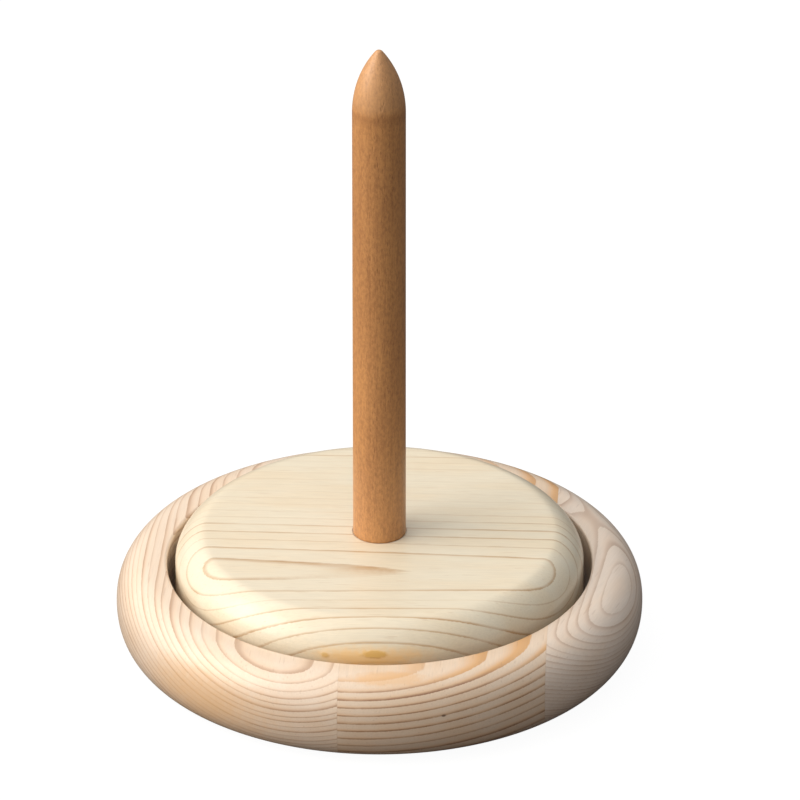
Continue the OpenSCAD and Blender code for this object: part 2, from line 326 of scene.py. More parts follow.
def soft_spot():
    """A soft-edged ellipsoid mask in object space; lengths in millimetres."""
    tree, given, result = start_group(
        "soft_spot", "ShaderNodeTree",
        {"Vector": (0.0, 0.0, 0.0), "Centre": (0.0, 0.0, 0.0), "Reach": (1.0, 1.0, 1.0),
         "Softness": 0.3, "Ragged": 0.2},
        {"Mask": "NodeSocketFloat"})
    away = vector_calc(tree, "SUBTRACT", given["Vector"], given["Centre"])
    unit = vector_calc(tree, "DIVIDE", away, given["Reach"])
    ripple = noise(tree, {"Vector": given["Vector"]}, 3.0, scale=0.6)
    length = put(tree, "ShaderNodeVectorMath", {0: unit}, operation="LENGTH").outputs["Value"]
    edge = calc(tree, "ADD", length, times(tree, minus(tree, ripple, 0.5), given["Ragged"]))
    feed(tree, result["Mask"], remap(tree, edge, minus(tree, 1.0, given["Softness"]), 1.0, 1.0, 0.0))


def group_node(tree, name, feeds):
    made = put(tree, "ShaderNodeGroup", node_tree=bpy.data.node_groups[name])
    for key, value in feeds.items():
        feed(tree, made.inputs[key], value)
    return made.outputs


def start_material(name, **constants):
    """A material with a Principled shader, its constants set on the shader's own sockets."""
    material = bpy.data.materials.new(name)
    material.use_nodes = True
    tree = material.node_tree
    tree.nodes.clear()
    shader = put(tree, "ShaderNodeBsdfPrincipled")
    put(tree, "ShaderNodeOutputMaterial", {"Surface": shader.outputs[0]})
    for key, value in constants.items():
        shader.inputs[key.replace("_", " ")].default_value = value
    place = put(tree, "ShaderNodeTexCoord").outputs["Object"]
    return material, tree, shader.inputs, place


def mapped(tree, place, shift=(0, 0, 0), turn=(0, 0, 0)):
    """Object coordinates in millimetres, turned, then moved so that a pith lies on the Y axis."""
    return put(tree, "ShaderNodeMapping",
               {"Vector": place, "Location": shift, "Rotation": tuple(math.radians(a) for a in turn),
                "Scale": (1000, 1000, 1000)}, vector_type="POINT").outputs[0]


def bump(tree, shader, height, distance):
    """Adds a bump on top of any that the shader has already."""
    made = put(tree, "ShaderNodeBump", {"Distance": distance, "Height": height})
    if shader["Normal"].is_linked:
        feed(tree, made.inputs["Normal"], shader["Normal"].links[0].from_socket)
    feed(tree, shader["Normal"], made.outputs[0])


def pine(name, pale, amber, dark, shift, turn, first, spacing, narrowing, line_width, waver,
         unevenness, seed, amber_share=0.5, line_share=0.8, extra=None):
    """Lacquered pine with its own pith, ring spacing and colours."""
    material, tree, shader, place = start_material(
        name, Specular_IOR_Level=0.5, Coat_Weight=0.6, Coat_Roughness=0.22, Coat_IOR=1.5)
    grain = mapped(tree, place, shift, turn)
    wood = group_node(tree, "growth_rings",
                      {"Vector": grain, "First Ring": first, "Spacing": spacing,
                       "Narrowing": narrowing, "Line Share": line_width, "Waver": waver,
                       "Unevenness": unevenness, "Seed": seed})
    tone, cloud = wood["Ring Tone"], wood["Cloud"]
    late = times(tree, wood["Late Wood"],
                 remap(tree, tone, 0.0, 1.0, amber_share * 0.4, amber_share, False))
    line = times(tree, wood["Ring Line"],
                 remap(tree, tone, 0.0, 1.0, line_share * 0.45, line_share, False))
    line = times(tree, line, remap(tree, cloud, 0.32, 0.6, 0.5, 1.0))
    if extra:
        late_kept, line_kept = extra(tree, place)
        late = times(tree, late, late_kept)
        line = times(tree, line, line_kept)
    warmer = tuple(c * k for c, k in zip(pale, (1.0, 0.955, 0.90)))
    warm = mix_colour(tree, remap(tree, cloud, 0.35, 0.7), pale, warmer)
    colour = mix_colour(tree, line, mix_colour(tree, late, warm, amber), dark)
    fibre = remap(tree, wood["Fibre"], 0.3, 0.7, 0.94, 1.03, False)
    grey = put(tree, "ShaderNodeCombineColor", {0: fibre, 1: fibre, 2: fibre}).outputs[0]
    tinted = mix_colour(tree, 1.0, colour, grey, "MULTIPLY")
    canals = group_node(tree, "short_streaks",
                        {"Vector": grain, "Width": 0.22, "Length": 3.0, "Amount": 0.08})["Streak"]
    tinted = mix_colour(tree, times(tree, canals, 0.16), tinted, dark)
    roughness = remap(tree, wood["Fibre"], 0.3, 0.7, 0.40, 0.52, False)
    height = calc(tree, "ADD", times(tree, wood["Fibre"], 0.4), times(tree, wood["Late Wood"], 0.6))
    bump(tree, shader, height, 0.00003)
    return material, tree, shader, place, tinted, roughness


def finish_pine(tree, shader, colour, roughness):
    feed(tree, shader["Base Color"], colour)
    feed(tree, shader["Roughness"], roughness)


def board_material(name, finish, glue, edges, spots=(), **wood):
    """Pine of one board of the dish, with a fine dark glue line at each of its edges, and soft spots of
    colour: marks in the wood, and on the left board a painted warm shade.
    """
    colours = [tuple(wood.pop(key, getattr(finish, "rim_" + key))) for key in ("pale", "amber", "dark")]
    material, tree, shader, place, colour, roughness = pine(name, *colours, **wood)
    square_on = mapped(tree, place, turn=(0, 0, math.degrees(glue.turn)))
    across = along(tree, square_on, "X")
    for edge in edges:
        gap = calc(tree, "ABSOLUTE", minus(tree, across, edge / MM))
        line = remap(tree, gap, 0.05, 0.3, 0.12, 0.0)
        colour = mix_colour(tree, line, colour, (0.42, 0.27, 0.17))
    for spot_colour, depth, spot in spots:
        mask = spot_mask(tree, place, *spot)
        colour = mix_colour(tree, times(tree, mask, depth), colour, spot_colour)
    finish_pine(tree, shader, colour, roughness)
    return material


def spot_mask(tree, place, centre, reach, soft):
    """A soft spot; its centre and reach are in millimetres."""
    return group_node(tree, "soft_spot",
                      {"Vector": mapped(tree, place), "Centre": centre, "Reach": reach,
                       "Softness": soft, "Ragged": 0.5})["Mask"]


def crest_lines(tree, place):
    """Near the crest of the rim the rings are wide amber strokes with hardly a dark line."""
    z = along(tree, place, "Z")
    return remap(tree, z, 0.0245, 0.0272, 0.75, 1.7), remap(tree, z, 0.0245, 0.0272, 1.0, 0.3)


def platter_lines(tree, place):
    """The rings fade across a wide pale band behind the peg, and at the heart in front of it."""
    y = along(tree, place, "Y")
    rise = remap(tree, y, -0.002, 0.014, 0.0, 1.0)
    back = remap(tree, y, 0.040, 0.054, 1.0, 0.0)
    kept = minus(tree, 1.0, times(tree, times(tree, rise, back), 0.8))
    heart = spot_mask(tree, place, (-2.0, -29.0, 37.4), (42.0, 6.0, 6.0), 0.8)
    kept = times(tree, kept, remap(tree, heart, 0.0, 1.0, 1.0, 0.3, False))
    return kept, kept


def platter_material(finish):
    """Pine of the platter, with two resin pockets and amber wood round them at its front."""
    material, tree, shader, place, colour, roughness = pine(
        "platter_pine", tuple(finish.platter_pale), tuple(finish.platter_amber),
        tuple(finish.platter_dark), shift=(-25.7, 0.0, -49.8), turn=(0.0, 2.14, 92.1), first=12.8,
        spacing=4.6, narrowing=0.0086, line_width=0.15, waver=1.2, unevenness=0.25, seed=3.0,
        amber_share=0.07, line_share=0.85, extra=platter_lines)
    halo = spot_mask(tree, place, (-4.0, -62.0, 27.8), (29.0, 7.0, 5.2), 0.85)
    colour = mix_colour(tree, times(tree, halo, 0.75), colour, tuple(finish.resin_halo))
    for centre, reach, soft, depth in (((-1.6, -61.9, 29.2), (4.9, 3.0, 1.6), 0.5, 0.85),
                                       ((-16.3, -60.0, 28.0), (1.6, 2.0, 1.3), 0.7, 0.65)):
        pocket = spot_mask(tree, place, centre, reach, soft)
        colour = mix_colour(tree, times(tree, pocket, depth), colour, tuple(finish.resin))
        roughness = minus(tree, roughness, times(tree, pocket, 0.28))
        bump(tree, shader, pocket, 0.00012)
    finish_pine(tree, shader, colour, roughness)
    return material


def peg_material(finish, shoulder):
    """Close-grained oiled hardwood: fine pores along Z, and a paler sanded tip above a thin line."""
    material, tree, shader, place = start_material(
        "peg_hardwood", Specular_IOR_Level=0.5, Coat_Weight=0.25, Coat_Roughness=0.3)
    grain = mapped(tree, place, shift=(14.0, 0.0, 9.0), turn=(90.0, 0.0, 0.0))
    wood = group_node(tree, "growth_rings",
                      {"Vector": grain, "First Ring": 0.0, "Spacing": 2.3, "Narrowing": 0.0,
                       "Line Share": 0.4, "Waver": 2.0, "Unevenness": 0.6, "Seed": 8.0})
    streak = remap(tree, wood["Fibre"], 0.32, 0.68)
    pores = group_node(tree, "short_streaks",
                       {"Vector": grain, "Width": 0.26, "Length": 0.9, "Amount": 0.5})["Streak"]
    fleck_way = vector_calc(tree, "MULTIPLY", grain, (1.5, 0.7, 1.5))
    fleck = noise(tree, {"Vector": fleck_way}, 4.0, roughness=0.65)
    shade = 0.0
    for mask, share in ((wood["Late Wood"], 0.10), (streak, 0.08), (pores, 0.10),
                        (remap(tree, wood["Cloud"], 0.3, 0.7), 0.20),
                        (remap(tree, fleck, 0.35, 0.68), 0.34)):
        shade = calc(tree, "MULTIPLY_ADD", mask, share, shade)
    colour = mix_colour(tree, shade, tuple(finish.peg_pale), tuple(finish.peg_dark))
    ripple = noise(tree, {"Vector": mapped(tree, place)}, 3.0, scale=0.5)
    level = calc(tree, "ADD", along(tree, place, "Z"), times(tree, minus(tree, ripple, 0.5), 0.003))
    sanded = remap(tree, level, shoulder + 0.001, shoulder + 0.005)
    sanded_colour = mix_colour(tree, 0.2, colour, (0.72, 0.47, 0.28))
    colour = mix_colour(tree, sanded, colour, sanded_colour)
    line_mid = shoulder + 0.0008
    rise = remap(tree, level, shoulder - 0.003, line_mid)
    line = times(tree, rise, remap(tree, level, line_mid, shoulder + 0.003, 1.0, 0.0))
    colour = mix_colour(tree, times(tree, line, 0.28), colour, tuple(finish.peg_dark))
    feed(tree, shader["Base Color"], colour)
    feed(tree, shader["Roughness"], remap(tree, wood["Fibre"], 0.3, 0.7, 0.42, 0.56, False))
    bump(tree, shader, minus(tree, wood["Fibre"], pores), 0.00005)
    return material


def felt_material(finish):
    material, tree, shader, place = start_material(
        "felt", Roughness=0.95, Specular_IOR_Level=0.2, Sheen_Weight=0.4, Sheen_Roughness=0.6)
    fluff = noise(tree, {"Vector": mapped(tree, place)}, 5.0, scale=3.0, roughness=0.7, distortion=1.5)
    colour = mix_colour(tree, remap(tree, fluff, 0.3, 0.7), tuple(finish.felt),
                        tuple(c * 2.4 for c in finish.felt))
    feed(tree, shader["Base Color"], colour)
    bump(tree, shader, fluff, 0.0002)
    return material


def metal_material(name, colour, rough_low, rough_high, scale):
    """Metal with a faint cloudy variation."""
    material, tree, shader, place = start_material(name, Metallic=1.0)
    cloud = noise(tree, {"Vector": mapped(tree, place)}, 4.0, scale=scale, roughness=0.6)
    feed(tree, shader["Base Color"],
         mix_colour(tree, remap(tree, cloud, 0.3, 0.7), colour, tuple(c * 0.86 for c in colour)))
    feed(tree, shader["Roughness"], remap(tree, cloud, 0.3, 0.7, rough_low, rough_high, False))
    bump(tree, shader, cloud, 0.00002)
    return material


def nylon_material(finish):
    material, tree, shader, place = start_material("nylon", Subsurface_Weight=0.1, IOR=1.5)
    cloud = noise(tree, {"Vector": mapped(tree, place)}, 3.0, scale=0.8)
    feed(tree, shader["Base Color"], mix_colour(tree, cloud, tuple(finish.nylon),
                                                tuple(c * 0.9 for c in finish.nylon)))
    feed(tree, shader["Roughness"], remap(tree, cloud, 0.3, 0.7, 0.38, 0.52, False))
    return material


# ---------------------------------------------------------------- geometry trees

def finish_tree(tree, given, result, geometry):
    """Every tree ends by realizing its instances and setting its material."""
    real = put(tree, "GeometryNodeRealizeInstances", {"Geometry": geometry}).outputs[0]
    smooth = put(tree, "GeometryNodeSetShadeSmooth", {"Geometry": real}).outputs[0]
    done = put(tree, "GeometryNodeSetMaterial", {"Geometry": smooth, "Material": given["Material"]})
    feed(tree, result["Geometry"], done.outputs[0])


def lathe(tree, outline, steps):
    """Sweeps an outline object round a tiny circle on the axis, and closes the poles."""
    shape = put(tree, "GeometryNodeObjectInfo", {"Object": outline}).outputs["Geometry"]
    circle = put(tree, "GeometryNodeCurvePrimitiveCircle",
                 {"Resolution": steps, "Radius": AXIS_R}).outputs["Curve"]
    swept = put(tree, "GeometryNodeCurveToMesh", {"Curve": circle, "Profile Curve": shape})
    return put(tree, "GeometryNodeMergeByDistance",
               {"Geometry": swept.outputs[0], "Distance": WELD}).outputs[0]


def turned_piece_tree():
    tree, given, result = start_group(
        "turned_piece", "GeometryNodeTree",
        {"Outline": "NodeSocketObject", "Steps": 128, "Material": "NodeSocketMaterial"},
        {"Geometry": "NodeSocketGeometry"})
    finish_tree(tree, given, result, lathe(tree, given["Outline"], given["Steps"]))


def ring_points(tree, given):
    """Points evenly round the axis from a start angle, at a height, and the angle of each."""
    index = put(tree, "GeometryNodeInputIndex").outputs[0]
    step = calc(tree, "DIVIDE", math.tau, given["Count"])
    angle = calc(tree, "MULTIPLY_ADD", index, step, given["Start Angle"])
    x, y = (times(tree, calc(tree, way, angle), given["Circle Radius"]) for way in ("COSINE", "SINE"))
    place = joined(tree, x, y, given["Height"])
    points = put(tree, "GeometryNodePoints", {"Count": given["Count"], "Position": place}).outputs[0]
    return points, angle


RING_INPUTS = {"Count": 4, "Circle Radius": 0.04, "Start Angle": 0.0, "Height": 0.0}


def round_row_tree():
    """Copies of a piece round the axis, each turned to face outwards."""
    tree, given, result = start_group(
        "round_row", "GeometryNodeTree",
        {"Piece": "NodeSocketObject", **RING_INPUTS, "Material": "NodeSocketMaterial"},
        {"Geometry": "NodeSocketGeometry"})
    shape = put(tree, "GeometryNodeObjectInfo", {"Object": given["Piece"]}).outputs["Geometry"]
    points, angle = ring_points(tree, given)
    row = put(tree, "GeometryNodeInstanceOnPoints",
              {"Points": points, "Instance": shape, "Rotation": joined(tree, z=angle)}).outputs[0]
    finish_tree(tree, given, result, row)


def drilled_piece_tree():
    """A blank with a row of round holes bored through it, parallel to the axis."""
    tree, given, result = start_group(
        "drilled_piece", "GeometryNodeTree",
        {"Blank": "NodeSocketObject", **RING_INPUTS, "Drill Radius": 0.002, "Drill Length": 0.01,
         "Material": "NodeSocketMaterial"},
        {"Geometry": "NodeSocketGeometry"})
    shape = put(tree, "GeometryNodeObjectInfo", {"Object": given["Blank"]}).outputs["Geometry"]
    drill = put(tree, "GeometryNodeMeshCylinder",
                {"Vertices": 48, "Radius": given["Drill Radius"],
                 "Depth": given["Drill Length"]}).outputs[0]
    row = put(tree, "GeometryNodeInstanceOnPoints",
              {"Points": ring_points(tree, given)[0], "Instance": drill}).outputs[0]
    cutters = put(tree, "GeometryNodeRealizeInstances", {"Geometry": row}).outputs[0]
    cut = put(tree, "GeometryNodeMeshBoolean", {"Mesh 1": shape, "Mesh 2": cutters},
              operation="DIFFERENCE", solver="EXACT").outputs["Mesh"]
    finish_tree(tree, given, result, cut)


def screw_tree():
    """A wood screw along +Z: a turned shank and head, a cross recess, and a helical thread."""
    tree, given, result = start_group(
        "wood_screw", "GeometryNodeTree",
        {"Outline": "NodeSocketObject", "Steps": 48, "Core Radius": 0.0011, "Thread Depth": 0.0004,
         "Pitch": 0.001, "Turns": 5.0, "Thread Start": 0.0006, "Drive Width": 0.0008,
         "Drive Length": 0.0028, "Drive Depth": 0.002, "Drive Height": -0.002,
         "Material": "NodeSocketMaterial"},
        {"Geometry": "NodeSocketGeometry"})
    shank = lathe(tree, given["Outline"], given["Steps"])
    cut = put(tree, "GeometryNodeMeshBoolean", {"Mesh 1": shank}, operation="DIFFERENCE", solver="EXACT")
    lift = joined(tree, z=given["Drive Height"])
    for x, y in ((given["Drive Length"], given["Drive Width"]),
                 (given["Drive Width"], given["Drive Length"])):
        bar_size = joined(tree, x, y, given["Drive Depth"])
        bar = put(tree, "GeometryNodeMeshCube", {"Size": bar_size}).outputs[0]
        bar = put(tree, "GeometryNodeTransform", {"Geometry": bar, "Translation": lift}).outputs[0]
        tree.links.new(bar, cut.inputs["Mesh 2"])
    coil = put(tree, "GeometryNodeCurveSpiral",
               {"Resolution": 32, "Rotations": given["Turns"], "Start Radius": given["Core Radius"],
                "End Radius": given["Core Radius"],
                "Height": times(tree, given["Pitch"], given["Turns"])}).outputs[0]
    wedge = put(tree, "GeometryNodeCurvePrimitiveCircle",
                {"Resolution": 4, "Radius": given["Thread Depth"]}).outputs["Curve"]
    thread = put(tree, "GeometryNodeCurveToMesh",
                 {"Curve": coil, "Profile Curve": wedge, "Fill Caps": True}).outputs[0]
    start = joined(tree, z=given["Thread Start"])
    thread = put(tree, "GeometryNodeTransform", {"Geometry": thread, "Translation": start}).outputs[0]
    both = put(tree, "GeometryNodeJoinGeometry")
    tree.links.new(cut.outputs["Mesh"], both.inputs[0])
    tree.links.new(thread, both.inputs[0])
    finish_tree(tree, given, result, both.outputs[0])


def ball_row_tree():
    tree, given, result = start_group(
        "ball_row", "GeometryNodeTree",
        {"Ball Radius": 0.002, **RING_INPUTS, "Material": "NodeSocketMaterial"},
        {"Geometry": "NodeSocketGeometry"})
    ball = put(tree, "GeometryNodeMeshIcoSphere", {"Radius": given["Ball Radius"],
                                                   "Subdivisions": 5}).outputs[0]
    row = put(tree, "GeometryNodeInstanceOnPoints",
              {"Points": ring_points(tree, given)[0], "Instance": ball}).outputs[0]
    finish_tree(tree, given, result, row)


# ---------------------------------------------------------------- mesh helpers

def place_object(name, data):
    """A new object in the scene."""
    made = bpy.data.objects.new(name, data)
    bpy.context.scene.collection.objects.link(made)
    return made


def outline_object(points, closed):
    """A temporary curve whose points are (radius, height), for the lathe."""
    curve = bpy.data.curves.new("outline", "CURVE")
    curve.dimensions = "3D"
    line = curve.splines.new("POLY")
    line.points.add(len(points) - 1)
    line.use_cyclic_u = closed
    for slot, (r, z) in zip(line.points, points):
        slot.co = (r - AXIS_R, -z, 0, 1)
    return place_object("outline", curve)


def grow(tree_name, feeds):
    """Runs a geometry tree once and gives back its plain mesh; its inputs go in by identifier."""
    holder = place_object("growing", bpy.data.meshes.new("growing"))
    modifier = holder.modifiers.new("tree", "NODES")
    modifier.node_group = bpy.data.node_groups[tree_name]
    for item in modifier.node_group.interface.items_tree:
        if item.item_type == "SOCKET" and item.in_out == "INPUT" and item.name in feeds:
            modifier[item.identifier] = feeds[item.name]
    graph = bpy.context.evaluated_depsgraph_get()
    mesh = bpy.data.meshes.new_from_object(holder.evaluated_get(graph))
    discard(holder)
    if not mesh.polygons:
        raise RuntimeError(f"the tree {tree_name} made no faces")
    return mesh


def discard(*objects):
    for old in objects:
        data = old.data
        bpy.data.objects.remove(old)
        owner = bpy.data.curves if isinstance(data, bpy.types.Curve) else bpy.data.meshes
        owner.remove(data)


def grow_from(tree_name, socket, mesh, feeds):
    """Runs a tree that takes a piece, and discards the piece."""
    piece = place_object("piece", mesh)
    made = grow(tree_name, {socket: piece, **feeds})
    discard(piece)
    return made


def ring(count, radius, start, height):
    """What a tree is told about a ring of places round the axis."""
    return {"Count": count, "Circle Radius": radius, "Start Angle": start, "Height": height}


def turn_on_lathe(points, closed, steps, material):
    outline = outline_object(points, closed)
    mesh = grow("turned_piece", {"Outline": outline, "Steps": steps, "Material": material})
    discard(outline)
    return mesh


def tidy_normals(mesh):
    """Faces turned outwards, and shaded smooth except at edges sharper than 38 degrees."""
    shell = bmesh.new()
    shell.from_mesh(mesh)
    bmesh.ops.recalc_face_normals(shell, faces=shell.faces)
    shell.to_mesh(mesh)
    shell.free()
    mesh.shade_smooth()
    mesh.set_sharp_from_angle(angle=math.radians(38))


def add_piece(name, mesh, body, material_slot, *nodes):
    """Adds a finished piece that rides on a body and stands for its CAD nodes."""
    tidy_normals(mesh)
    mesh.name = name
    piece = place_object(name, mesh)
    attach(piece, body)
    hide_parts(*nodes)


def spaced(points, gap):
    """The same outline with long straight runs divided, so that shading stays even."""
    out = [points[0]]
    for (r0, z0), (r1, z1) in zip(points, points[1:]):
        parts = max(1, math.ceil(math.hypot(r1 - r0, z1 - z0) / gap))
        out += [(r0 + (r1 - r0) * i / parts, z0 + (z1 - z0) * i / parts) for i in range(1, parts + 1)]
    return out


def corner(r, z, reach, rise, power, count):
    """A rounded corner from its outermost point to its crest or foot."""
    turn = [math.pi / 2 * i / count for i in range(count + 1)]
    return [(r + reach * math.cos(t) ** (2 / power), z + rise * abs(math.sin(t)) ** (2 / power))
            for t in turn[:-1]] + [(r, z + rise)]


def relaxed(points, gap, passes):
    """A smoother course through the same points, so that a curve runs into a flat without a line."""
    course = spaced(points, gap)
    for _ in range(passes):
        course = [course[0]] + [tuple((a + 2 * b + c) / 4 for a, b, c in zip(*three))
                                for three in zip(course, course[1:], course[2:])] + [course[-1]]
    return course


def shape(settings_name):
    """One of the scene's groups of settings."""
    return getattr(bpy.context.scene, settings_name)


# ---------------------------------------------------------------- turned outlines

def dish_outline(turning):
    """The rim's rounding would end 1 mm below the foot, and the flat foot cuts it off."""
    rim_r = DISH_R - turning.rim_round
    rise = DISH_CREST - turning.rim_mid
    drop = turning.rim_mid - DISH_FOOT + MM
    upper = corner(rim_r, turning.rim_mid, turning.rim_round, rise, turning.rim_power, ARC_STEPS)
    lower = corner(rim_r, turning.rim_mid, turning.rim_round, -drop, turning.rim_power, 48)
    lower = [p for p in lower if p[1] > DISH_FOOT + 0.0002]
    share = (turning.rim_mid - DISH_FOOT) / drop
    foot_r = rim_r + turning.rim_round * (1 - share ** turning.rim_power) ** (1 / turning.rim_power)
    lip = [(turning.well_r + turning.lip_round * (1 + math.cos(a)),
            DISH_CREST - turning.lip_round * (1 - math.sin(a)))
           for a in (math.radians(degrees) for degrees in range(90, 181, 10))]
    foot = [(0, DISH_FOOT), (foot_r - 0.0003, DISH_FOOT)]
    well = [(turning.well_r, FLOOR_TOP), (0, FLOOR_TOP)]
    return spaced(foot + lower[::-1] + upper[1:] + lip + well, LARGE_FACET)


def platter_outline(turning, hardware):
    """The platter's whole section, with the screw's hole, the tenon's socket and the peg's seat."""
    crest_r = PLATTER_R - turning.platter_round
    soft = corner(crest_r, PLATTER_TOP - turning.platter_round, turning.platter_round,
                  turning.platter_round, turning.platter_power, ARC_STEPS)
    seat_r = PEG_R + 0.0002
    seat_z = PLATTER_TOP - turning.seat_depth
    seat_edge = 0.00015
    hole_r = hardware.peg_screw_r
    points = [(hole_r, PEG_FOOT), (hole_r, PLATTER_FOOT + hardware.flat_head_h * 0.83),
              (hardware.flat_head_r, PLATTER_FOOT),
              (PLATTER_R - turning.platter_chamfer, PLATTER_FOOT),
              (PLATTER_R, PLATTER_FOOT + turning.platter_chamfer)]
    points += relaxed(soft + [(crest_r - 0.006, PLATTER_TOP)], 0.0005, 14)
    points += [(seat_r + seat_edge, PLATTER_TOP), (seat_r, PLATTER_TOP - seat_edge),
               (seat_r, seat_z), (turning.tenon_r, seat_z), (turning.tenon_r, PEG_FOOT)]
    return spaced(points, LARGE_FACET)


def peg_outline(turning, hardware):
    """The peg's outline, and the height of the shoulder where its bullet tip starts."""
    arc_r, tip_r = turning.ogive_r, turning.tip_r
    arc_centre = PEG_R - arc_r
    ball_rise = math.sqrt((arc_r - tip_r) ** 2 - arc_centre ** 2)
    shoulder = PEG_TIP - ball_rise - tip_r
    meet = math.asin(ball_rise / (arc_r - tip_r))
    arc = [(arc_centre + arc_r * math.cos(t), shoulder + arc_r * math.sin(t))
           for t in (meet * i / ARC_STEPS for i in range(1, ARC_STEPS + 1))]
    end = [meet + (math.pi / 2 - meet) * i / 12 for i in range(1, 13)]
    tip = [(tip_r * math.cos(t), shoulder + ball_rise + tip_r * math.sin(t)) for t in end[:-1]]
    bore_r = hardware.peg_screw_r - hardware.thread_depth
    bore_top = PEG_SCREW_HIGH.z
    seat_z = PLATTER_TOP - turning.seat_depth
    points = [(0, bore_top), (bore_r, bore_top), (bore_r, PEG_FOOT), (turning.tenon_r, PEG_FOOT),
              (turning.tenon_r, seat_z), (PEG_R - turning.seat_depth, seat_z),
              (PEG_R, PLATTER_TOP), (PEG_R, shoulder)] + arc + tip + [(0, PEG_TIP)]
    return spaced(points, 0.006), shoulder


# ---------------------------------------------------------------- operators

class BuildFinishes(Operator):
    """Builds the node groups that the materials and the shapes of the pieces use"""
    bl_idname = "pegstand.finishes"
    bl_label = "Node groups"

    def execute(self, context):
        for build in (growth_rings, short_streaks, soft_spot, turned_piece_tree, round_row_tree,
                      drilled_piece_tree, screw_tree, ball_row_tree):
            build()
        return {"FINISHED"}


class BuildDish(Operator):
    """Turns the dish on a lathe tree and parts it at the glue lines into its three boards"""
    bl_idname = "pegstand.dish"
    bl_label = "Dish"

    def execute(self, context):
        turning, glue, finish = shape("turning"), shape("glue"), shape("finish")
        right_seam = glue.seam_left + glue.board_w
        woods = {
            "board_left": board_material(
                "left_board_pine", finish, glue, (glue.seam_left,), shift=(25.6, 0, -73.3),
                turn=(1.16, 0, 5.3), first=48.6, spacing=1.93, narrowing=0.0073,
                line_width=0.3, waver=0.5, unevenness=0.25, seed=11.0, amber_share=0.4,
                line_share=0.62, pale=(0.79, 0.65, 0.53),
                # painted shade: a warm amber tint over the lower front-left of the rim, standing for the
                # light's warm falloff towards the underside
                spots=(((0.77, 0.49, 0.26), 0.75, ((-48.0, -56.0, 13.0), (38.0, 30.0, 16.0), 0.9)),)),
            "board_centre": board_material(
                "centre_board_pine", finish, glue, (glue.seam_left, right_seam),
                shift=(9.0, 0, -310.0), turn=(0.86, 0, 3.44), first=284.8, spacing=2.0,
                narrowing=-0.0177, line_width=0.28, waver=0.6, unevenness=0.35, seed=5.0,
                amber_share=0.8, line_share=1.0, amber=(0.72, 0.41, 0.18), extra=crest_lines,
                spots=(((0.74, 0.42, 0.17), 0.5, ((2.5, -72.2, 26.9), (13.5, 4.2, 2.2), 0.5)),
                       ((0.10, 0.05, 0.03), 0.8, ((19.0, -77.5, 17.2), (0.9, 1.5, 0.5), 0.6)))),
            "board_right": board_material(
                "right_board_pine", finish, glue, (right_seam,), shift=(-48.85, 0, 17.25),
                turn=(3.93, 0, 19.6), first=27.1, spacing=1.02, narrowing=0.002,
                line_width=0.35, waver=0.15, unevenness=0.4, seed=17.0, amber_share=0.2,
                line_share=0.5, pale=(0.775, 0.66, 0.57)),
        }
        mesh = turn_on_lathe(dish_outline(turning), False, turning.steps, None)
        hole = ring(1, shape("hardware").hole_circle, 0.0, FLOOR_TOP)
        bored = grow_from("drilled_piece", "Blank", mesh,
                          {**hole, "Drill Radius": turning.access_hole_r, "Drill Length": 0.04,
                           "Material": woods["board_centre"]})
        cuts = {"board_left": ((glue.seam_left, 1),), "board_right": ((right_seam, -1),),
                "board_centre": ((glue.seam_left, -1), (right_seam, 1))}
        across = Vector((math.cos(glue.turn), -math.sin(glue.turn), 0))
        for name, sides in cuts.items():
            board = part_off(bored, across, sides)
            board.materials.clear()
            board.materials.append(woods[name])
            add_piece(name, board, "base", "pine_base", "base_" + name)
        bpy.data.meshes.remove(bored)
        return {"FINISHED"}


def part_off(mesh, across, sides):
    """A copy of the mesh, cut at each glue line and capped there; side 1 keeps what is to its left."""
    shell = bmesh.new()
    shell.from_mesh(mesh)
    for distance, side in sides:
        cut = bmesh.ops.bisect_plane(
            shell, geom=shell.verts[:] + shell.edges[:] + shell.faces[:], dist=CUT_REACH,
            plane_co=across * distance, plane_no=across * side, clear_outer=True)
        edges = [e for e in cut["geom_cut"] if isinstance(e, bmesh.types.BMEdge)]
        bmesh.ops.triangle_fill(shell, edges=edges, use_beauty=True)
    bmesh.ops.remove_doubles(shell, verts=shell.verts, dist=CUT_REACH)
    if any(not e.is_manifold for e in shell.edges):
        raise RuntimeError("a board of the dish isn't closed")
    board = bpy.data.meshes.new("board")
    shell.to_mesh(board)
    shell.free()
    return board


class BuildPlatter(Operator):
    """Turns the platter, with its socket, seat and screw hole"""
    bl_idname = "pegstand.platter"
    bl_label = "Platter"

    def execute(self, context):
        turning = shape("turning")
        mesh = turn_on_lathe(platter_outline(turning, shape("hardware")), True, turning.steps,
                             platter_material(shape("finish")))
        add_piece("platter_disc", mesh, "platter", "pine_platter", "platter")
        return {"FINISHED"}


class BuildPeg(Operator):
    """Turns the peg, with its tenon, chamfered foot and bullet tip"""
    bl_idname = "pegstand.peg"
    bl_label = "Peg"

    def execute(self, context):
        points, shoulder = peg_outline(shape("turning"), shape("hardware"))
        mesh = turn_on_lathe(points, False, 128, peg_material(shape("finish"), shoulder))
        add_piece("peg_turned", mesh, "platter", "hardwood", "peg")
        return {"FINISHED"}


